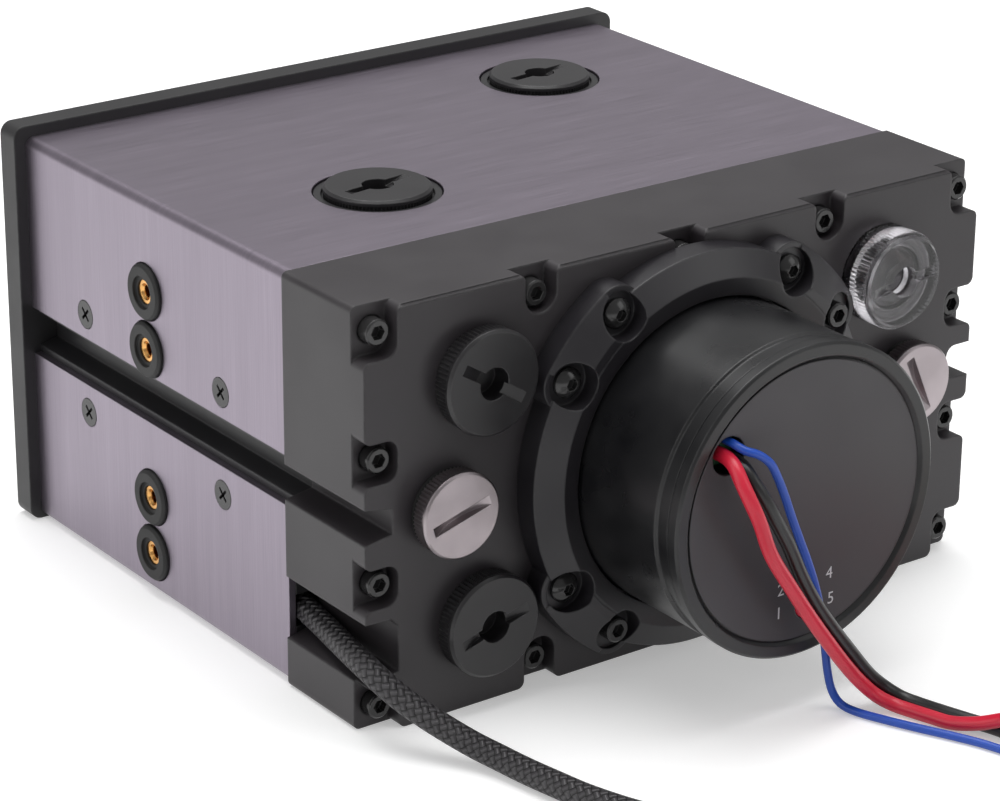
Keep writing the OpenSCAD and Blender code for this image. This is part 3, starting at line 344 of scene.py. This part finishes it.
def mix_colour(tree, factor, a, b):
    return add(tree, "ShaderNodeMix", {"data_type": "RGBA"}, i0=factor, i6=a, i7=b).outputs[2]


def remap(tree, value, low, high, to_low=0.0, to_high=1.0):
    return add(tree, "ShaderNodeMapRange", None, Value=value, From_Min=low, From_Max=high,
               To_Min=to_low, To_Max=to_high).outputs[0]


def start_group(name, inputs, outputs):
    group = bpy.data.node_groups.new(name, "ShaderNodeTree")
    for socket, kind, value in inputs:
        made = group.interface.new_socket(socket, in_out="INPUT", socket_type=kind)
        made.default_value = value
    for socket, kind in outputs:
        group.interface.new_socket(socket, in_out="OUTPUT", socket_type=kind)
    return group, group.nodes.new("NodeGroupInput"), group.nodes.new("NodeGroupOutput")


def use_group(tree, group, **sockets):
    return add(tree, "ShaderNodeGroup", {"node_tree": group}, **sockets)


def start_material(name, colour, roughness, metallic=0.0):
    material = bpy.data.materials.new(name)
    material.use_nodes = True
    tree = material.node_tree
    shader = tree.nodes["Principled BSDF"]
    shader.inputs["Base Color"].default_value = (*colour, 1)
    shader.inputs["Roughness"].default_value = roughness
    shader.inputs["Metallic"].default_value = metallic
    return material, tree, shader


FLOAT, VECTOR, COLOUR = "NodeSocketFloat", "NodeSocketVector", "NodeSocketColor"
print("node helpers ready")

# %% [markdown]
# ## Shared effects
# Brushed metal is covered in fine parallel scratches. A noise that is stretched along one direction
# gives them: many cycles across the brushing, few along it. A second, slower noise makes wide soft
# bands, as real sheet has.

# %% Group: brushed grain
brushed_grain, inside, outside = start_group(
    "brushed_grain", [("Lines", VECTOR, (60, 7000, 60)), ("Bands", VECTOR, (8, 260, 8))],
    [("Scratches", FLOAT), ("Bands", FLOAT)])
place = add(brushed_grain, "ShaderNodeTexCoord").outputs["Object"]
for out, lines, detail in ((0, "Lines", 4.0), (1, "Bands", 2.0)):
    stretched = add(brushed_grain, "ShaderNodeVectorMath", {"operation": "MULTIPLY"},
                    i0=place, i1=inside.outputs[lines]).outputs[0]
    noise = add(brushed_grain, "ShaderNodeTexNoise", None, Vector=stretched, Scale=1.0,
                Detail=detail, Roughness=0.6)
    brushed_grain.links.new(noise.outputs["Fac"], outside.inputs[out])
print(brushed_grain.name)

# %% [markdown]
# Moulded and machined plastic isn't smooth at close range: it has a fine even tooth, and handling
# leaves faint cloudy patches that shine a little more or less.

# %% Group: plastic tooth and handling marks
plastic_tooth, inside, outside = start_group(
    "plastic_tooth", [("Tooth per metre", FLOAT, 9000.0), ("Patches per metre", FLOAT, 60.0)],
    [("Tooth", FLOAT), ("Patches", FLOAT)])
place = add(plastic_tooth, "ShaderNodeTexCoord").outputs["Object"]
tooth = add(plastic_tooth, "ShaderNodeTexNoise", None, Vector=place,
            Scale=inside.outputs["Tooth per metre"], Detail=2.0)
patches = add(plastic_tooth, "ShaderNodeTexNoise", None, Vector=place,
              Scale=inside.outputs["Patches per metre"], Detail=3.0, Roughness=0.55)
plastic_tooth.links.new(tooth.outputs["Fac"], outside.inputs["Tooth"])
plastic_tooth.links.new(patches.outputs["Fac"], outside.inputs["Patches"])
print(plastic_tooth.name)

# %% [markdown]
# Edges are made lighter, partly as rubbed wear and partly as a painted highlight where they catch
# the light. A rounded normal differs from the flat one only near an edge, so the difference between
# the two makes a mask of the edges.

# %% Group: edges
edge_mask, inside, outside = start_group(
    "edge_mask", [("Reach", FLOAT, 0.0006), ("Breakup", FLOAT, 900.0)], [("Edge", FLOAT)])
rounded = add(edge_mask, "ShaderNodeBevel", {"samples": 4},
              Radius=inside.outputs["Reach"]).outputs[0]
flat = add(edge_mask, "ShaderNodeNewGeometry").outputs["Normal"]
likeness = add(edge_mask, "ShaderNodeVectorMath", {"operation": "DOT_PRODUCT"},
               i0=rounded, i1=flat).outputs["Value"]
edge = remap(edge_mask, likeness, 0.995, 0.85)
chipped = add(edge_mask, "ShaderNodeTexNoise", None,
              Vector=add(edge_mask, "ShaderNodeTexCoord").outputs["Object"],
              Scale=inside.outputs["Breakup"], Detail=3.0).outputs["Fac"]
# This mask says where edges are painted lighter: partly wear, partly painted highlight.
wear_and_highlight = maths(edge_mask, "MULTIPLY", edge, remap(edge_mask, chipped, 0.35, 0.65), clamp=True)
edge_mask.links.new(wear_and_highlight, outside.inputs["Edge"])
print(edge_mask.name)

# %% [markdown]
# A braided sleeve is two sets of yarn that wind round the cable in opposite ways and pass over and
# under each other. In texture coordinates each set is a row of slanted stripes, and a checkerboard
# of the crossings says which set lies on top.

# %% Group: braid
braid, inside, outside = start_group(
    "braid", [("Yarns round", FLOAT, 8.0), ("Slant per mm", FLOAT, 0.07)],
    [("Height", FLOAT), ("Gap", FLOAT)])
weave = add(braid, "ShaderNodeSeparateXYZ", None,
            Vector=add(braid, "ShaderNodeTexCoord").outputs["UV"])
slant = maths(braid, "MULTIPLY", weave.outputs["Y"], inside.outputs["Slant per mm"])
yarns = [maths(braid, "MULTIPLY", maths(braid, way, weave.outputs["X"], slant),
               inside.outputs["Yarns round"]) for way in ("ADD", "SUBTRACT")]
ridges = [maths(braid, "ABSOLUTE", maths(braid, "SINE", maths(braid, "MULTIPLY", y, pi)))
          for y in yarns]
cell = maths(braid, "ADD", maths(braid, "FLOOR", yarns[0]), maths(braid, "FLOOR", yarns[1]))
on_top = maths(braid, "FLOOR", maths(braid, "MULTIPLY", maths(
    braid, "FRACT", maths(braid, "MULTIPLY", cell, 0.5)), 2.0))
first = maths(braid, "MULTIPLY", ridges[0], on_top)
second = maths(braid, "MULTIPLY", ridges[1], maths(braid, "SUBTRACT", 1.0, on_top))
height = maths(braid, "ADD", first, second)
braid.links.new(height, outside.inputs["Height"])
# The gap mask marks the recesses between the yarns, which are painted dark as shade.
braid.links.new(remap(braid, height, 0.45, 0.1), outside.inputs["Gap"])
print(braid.name)

# %% [markdown]
# ## Finish: brushed gun-metal shells
# The shells are aluminium sheet, brushed round the bend and anodised a dark grey with a hint of
# violet. The scratches vary the roughness and the brightness; a low bump tilts them.

# %% Brushed shells
def soft_edges(tree, radius):
    """A normal that rounds each sharp edge of the solid over this radius, in metres."""
    return add(tree, "ShaderNodeBevel", {"samples": 4}, Radius=radius).outputs[0]


def brushed_sheet(name, colour, contrast=0.35):
    material, tree, shader = start_material(name, colour, 0.38, metallic=1.0)
    grain = use_group(tree, brushed_grain)
    dark = [c * (1 - contrast) for c in colour]
    light = [min(1, c * (1 + contrast)) for c in colour]
    streaks = mix_colour(tree, grain.outputs["Scratches"], (*dark, 1), (*light, 1))
    bands = mix_colour(tree, remap(tree, grain.outputs["Bands"], 0.3, 0.7, 0.0, 0.25), streaks,
                       (*dark, 1))
    tree.links.new(bands, shader.inputs["Base Color"])
    tree.links.new(remap(tree, grain.outputs["Scratches"], 0.2, 0.8, 0.30, 0.48),
                   shader.inputs["Roughness"])
    bump = add(tree, "ShaderNodeBump", None, Strength=0.12, Distance=0.00004,
               Height=grain.outputs["Scratches"], Normal=soft_edges(tree, 0.0003))
    tree.links.new(bump.outputs[0], shader.inputs["Normal"])
    return material


shell_finish = brushed_sheet("brushed_gunmetal", (0.31, 0.272, 0.325))
print(shell_finish.name)

# %% [markdown]
# ## Finish: machined black plastic
# The tank, housing and clamp ring are machined from black acetal. It looks charcoal where light
# grazes it. Corners are a little lighter: partly polished by handling, partly a painted highlight.

# %% Machined and moulded plastics
def plastic(name, colour, roughness, edge_light=0.35, tooth=0.25, patches=0.12, radius=0.0004):
    material, tree, shader = start_material(name, colour, roughness)
    surface = use_group(tree, plastic_tooth)
    edges = use_group(tree, edge_mask, Reach=radius * 1.5)
    light = [min(1, c + edge_light * 0.2) for c in colour]
    shade = mix_colour(tree, remap(tree, surface.outputs["Patches"], 0.3, 0.7, 0.0, patches),
                       (*colour, 1), (*light, 1))
    # Edges take the lighter colour: partly rubbed wear, partly a painted highlight.
    wear_and_highlight = mix_colour(tree, maths(tree, "MULTIPLY", edges.outputs["Edge"], edge_light), shade,
                      (*light, 1))
    tree.links.new(wear_and_highlight, shader.inputs["Base Color"])
    tree.links.new(remap(tree, surface.outputs["Patches"], 0.3, 0.7, roughness - 0.06,
                         roughness + 0.06), shader.inputs["Roughness"])
    bump = add(tree, "ShaderNodeBump", None, Strength=tooth, Distance=0.00002,
               Height=surface.outputs["Tooth"], Normal=soft_edges(tree, radius))
    tree.links.new(bump.outputs[0], shader.inputs["Normal"])
    return material


housing_finish = plastic("charcoal_acetal", (0.023, 0.0195, 0.0225), 0.44, radius=0.0006)
tank_finish = plastic("black_acetal", (0.010, 0.0095, 0.011), 0.40)
bezel_finish = plastic("moulded_frame", (0.010, 0.0095, 0.0105), 0.45, radius=0.0005)
ring_finish = plastic("clamp_ring_plastic", (0.011, 0.0095, 0.0125), 0.38, radius=0.0005)
black_nylon = plastic("black_nylon", (0.012, 0.012, 0.013), 0.5, radius=0.0003)
white_nylon = plastic("white_nylon", (0.74, 0.72, 0.66), 0.45, edge_light=0.1, radius=0.0003)
print("plastics done")

# %% [markdown]
# ## Finish: rubber, film and coated metal
# Rubber is dull with a slight grey bloom. The plugs are black anodised aluminium with turning
# marks, the screws black oxide, the motor can semi-gloss paint.

# %% Rubber, plugs, screws, can
rubber_finish = plastic("black_rubber", (0.010, 0.010, 0.010), 0.62, edge_light=0.15)
shrink_finish = plastic("shrink_sleeve", (0.010, 0.010, 0.010), 0.42, edge_light=0.1)


def metal(name, colour, roughness, patches=0.2, radius=0.0003):
    material, tree, shader = start_material(name, colour, roughness, metallic=1.0)
    surface = use_group(tree, plastic_tooth, Tooth_per_metre=4000.0)
    dark = [c * (1 - patches) for c in colour]
    tone = mix_colour(tree, remap(tree, surface.outputs["Patches"], 0.35, 0.65),
                      (*colour, 1), (*dark, 1))
    tree.links.new(tone, shader.inputs["Base Color"])
    tree.links.new(remap(tree, surface.outputs["Patches"], 0.3, 0.7, roughness - 0.04,
                         roughness + 0.06), shader.inputs["Roughness"])
    bump = add(tree, "ShaderNodeBump", None, Strength=0.05, Distance=0.00002,
               Height=surface.outputs["Tooth"], Normal=soft_edges(tree, radius))
    tree.links.new(bump.outputs[0], shader.inputs["Normal"])
    return material


# The plugs' and screws' rims are lightened strongly: partly rubbed wear, partly a painted
# highlight.
plug_finish = plastic("black_anodised", (0.011, 0.010, 0.0115), 0.36, edge_light=0.5,
                      radius=0.00025)
screw_finish = plastic("black_oxide", (0.010, 0.0095, 0.010), 0.15, edge_light=0.7, radius=0.0002)
can_finish = plastic("motor_paint", (0.0045, 0.0045, 0.0055), 0.30, edge_light=0.3, tooth=0.05)
label_finish = plastic("label_film", (0.042, 0.039, 0.044), 0.42, edge_light=0.05, tooth=0.1)
nickel_finish = metal("satin_nickel", (0.40, 0.355, 0.37), 0.30)
brass_finish = metal("turned_brass", (0.78, 0.42, 0.14), 0.25)
steel_finish = metal("pressed_steel", (0.55, 0.55, 0.57), 0.3)
copper_finish = metal("winding_copper", (0.70, 0.30, 0.14), 0.35)
print("metals done")

# %% [markdown]
# ## Finish: clear acrylic
# The window and one port plug are clear. The shader lets light through; a slight tint and soft
# turning marks on the plug keep it from vanishing.

# %% Clear acrylic
def clear(name, colour, roughness):
    material, tree, shader = start_material(name, colour, roughness)
    shader.inputs["Transmission Weight"].default_value = 1.0
    shader.inputs["IOR"].default_value = 1.49
    surface = use_group(tree, plastic_tooth, Tooth_per_metre=1500.0)
    bump = add(tree, "ShaderNodeBump", None, Strength=0.15, Distance=0.00003,
               Height=surface.outputs["Tooth"], Normal=soft_edges(tree, 0.00025))
    tree.links.new(bump.outputs[0], shader.inputs["Normal"])
    return material


acrylic_finish = clear("turned_acrylic", (0.86, 0.84, 0.88), 0.16)
window_finish = clear("window_acrylic", (0.92, 0.95, 0.96), 0.03)
print("clear finishes done")

# %% Insulation and braid
def insulation(name, colour):
    material, tree, shader = start_material(name, colour, 0.34)
    surface = use_group(tree, plastic_tooth, Tooth_per_metre=2500.0, Patches_per_metre=220.0)
    dark = [c * 0.8 for c in colour]
    tree.links.new(mix_colour(tree, surface.outputs["Patches"], (*dark, 1), (*colour, 1)),
                   shader.inputs["Base Color"])
    bump = add(tree, "ShaderNodeBump", None, Strength=0.08, Distance=0.00003,
               Height=surface.outputs["Tooth"])
    tree.links.new(bump.outputs[0], shader.inputs["Normal"])
    return material


red_finish = insulation("red_insulation", (0.72, 0.018, 0.050))
dark_finish = insulation("black_insulation", (0.012, 0.012, 0.013))
blue_finish = insulation("blue_insulation", (0.014, 0.085, 0.52))

braid_finish, tree, shader = start_material("black_braid", (0.014, 0.014, 0.015), 0.45)
sleeve = use_group(tree, braid)
# The gaps between the yarns are painted near-black as shade; the yarns themselves are dark grey.
tree.links.new(mix_colour(tree, sleeve.outputs["Gap"], (0.055, 0.052, 0.056, 1),
                          (0.002, 0.002, 0.002, 1)), shader.inputs["Base Color"])
bump = add(tree, "ShaderNodeBump", None, Strength=1.0, Distance=0.0006,
           Height=sleeve.outputs["Height"])
tree.links.new(bump.outputs[0], shader.inputs["Normal"])
print("cable finishes done")

# %% [markdown]
# ## Dress the solids
# Every CAD solid keeps its shape, and its one material gives way to the finish. The wires, the
# sleeve and the numbers have none yet and get theirs last.

# %% Give each solid its finish
finishes = {
    shell_finish: ["upper_shell", "lower_shell"],
    housing_finish: ["rear_housing"],
    ring_finish: ["pump_ring"],
    tank_finish: ["tank_body"],
    bezel_finish: ["front_bezel"],
    window_finish: ["front_window"],
    rubber_finish: ["front_seal", "rear_seal", "pump_seal", "port_seals", "grommets",
                    "fill_seal_rear", "fill_seal_front"],
    screw_finish: ["housing_screws", "ring_screws", "bezel_screws", "shell_screws"],
    plug_finish: ["black_port_plugs", "fill_plug_rear", "fill_plug_front"],
    nickel_finish: ["nickel_port_plugs"],
    acrylic_finish: ["clear_port_plug"],
    can_finish: ["pump_can", "end_cap"],
    label_finish: ["end_label"],
    brass_finish: ["threaded_inserts"],
    steel_finish: ["separation_dome", "stator_core", "rotor_magnet"],
    copper_finish: ["stator_windings"],
    white_nylon: ["power_plug", "impeller", "bearing_ball", "light_strip"],
    black_nylon: ["light_plug", "signal_plug"],
    shrink_finish: ["light_cable_boot"],
    red_finish: ["speed_dial", "red_lead", "red_lead_coil"],
    dark_finish: ["black_lead", "black_lead_coil"],
    blue_finish: ["signal_lead", "signal_lead_coil"],
    braid_finish: ["light_cable", "light_cable_coil"],
    plastic("solder_mask", (0.02, 0.10, 0.04), 0.35): ["control_board"],
}
for finish, names in finishes.items():
    for name in names:
        slots = solids[name].data.materials
        slots.clear()
        slots.append(finish)
ink_finish = plastic("white_ink", (0.62, 0.62, 0.64), 0.5, edge_light=0.0, tooth=0.1)
for figure in numbers:
    figure.data.materials.append(ink_finish)
for piece, finish in ((wires["red_lead"], red_finish), (wires["black_lead"], dark_finish),
                      (wires["signal_lead"], blue_finish), (light_sleeve, braid_finish)):
    piece.data.materials.append(finish)
print("bare solids:", sorted(set(solids) - {n for names in finishes.values() for n in names}))

# %% [markdown]
# ## Floor, world and lamps
# The picture is made on a white floor in soft light. The floor is a plain plane that gets a little
# of its own light where the camera sees it, so it turns white while the shadow stays. The world
# lights everything evenly; three large lamps add light from above, from the side and from behind.

# %% Floor and world
floor_mesh = bpy.data.meshes.new("floor")
reach = 3.0
floor_mesh.from_pydata([(-reach, -reach, 0), (reach, -reach, 0), (reach, reach, 0),
                        (-reach, reach, 0)], [], [(0, 1, 2, 3)])
floor = bpy.data.objects.new("floor", floor_mesh)
bpy.context.scene.collection.objects.link(floor)
floor.location.z = -0.0001

floor_paint, tree, shader = start_material("floor_paint", (0.8, 0.8, 0.8), 0.9)
rays = add(tree, "ShaderNodeLightPath")
seen = maths(tree, "MAXIMUM", maths(tree, "MAXIMUM", rays.outputs["Is Camera Ray"],
                                    rays.outputs["Is Glossy Ray"]),
             rays.outputs["Is Transmission Ray"])
glow = add(tree, "ShaderNodeEmission", None, Color=(1, 1, 1, 1),
           Strength=maths(tree, "MULTIPLY", seen, 0.35))
both = add(tree, "ShaderNodeAddShader", None, i0=shader.outputs[0], i1=glow.outputs[0])
tree.links.new(both.outputs[0], tree.nodes["Material Output"].inputs["Surface"])
floor_mesh.materials.append(floor_paint)

world = bpy.data.worlds.new("studio")
bpy.context.scene.world = world
world.use_nodes = True
tree = world.node_tree
rays = add(tree, "ShaderNodeLightPath")
seen = maths(tree, "MAXIMUM", rays.outputs["Is Camera Ray"], rays.outputs["Is Transmission Ray"])
strength = maths(tree, "ADD", 0.38, maths(tree, "MULTIPLY", seen, 0.62))
tree.links.new(strength, tree.nodes["Background"].inputs["Strength"])
tree.nodes["Background"].inputs["Color"].default_value = (1, 1, 1, 1)
bpy.context.scene.view_settings.view_transform = "Standard"
print("floor", 2 * reach, "m wide")

# %% Lamps
lamp_aim = Vector((0, 0, 0.04))


def soft_lamp(name, place, size, watts):
    lamp_data = bpy.data.lights.new(name, "AREA")
    lamp_data.shape = "RECTANGLE"
    lamp_data.size, lamp_data.size_y = size
    lamp_data.energy = watts
    lamp = bpy.data.objects.new(name, lamp_data)
    lamp.location = place
    lamp.rotation_euler = (lamp_aim - lamp.location).to_track_quat("-Z", "Y").to_euler()
    bpy.context.scene.collection.objects.link(lamp)


soft_lamp("side_lamp", (1.1, -0.1, 0.6), (0.9, 0.9), 3)
soft_lamp("top_lamp", (-0.1, -0.2, 1.3), (1.2, 1.2), 18)
soft_lamp("back_lamp", (-0.8, 1.0, 0.8), (0.8, 0.8), 2.5)
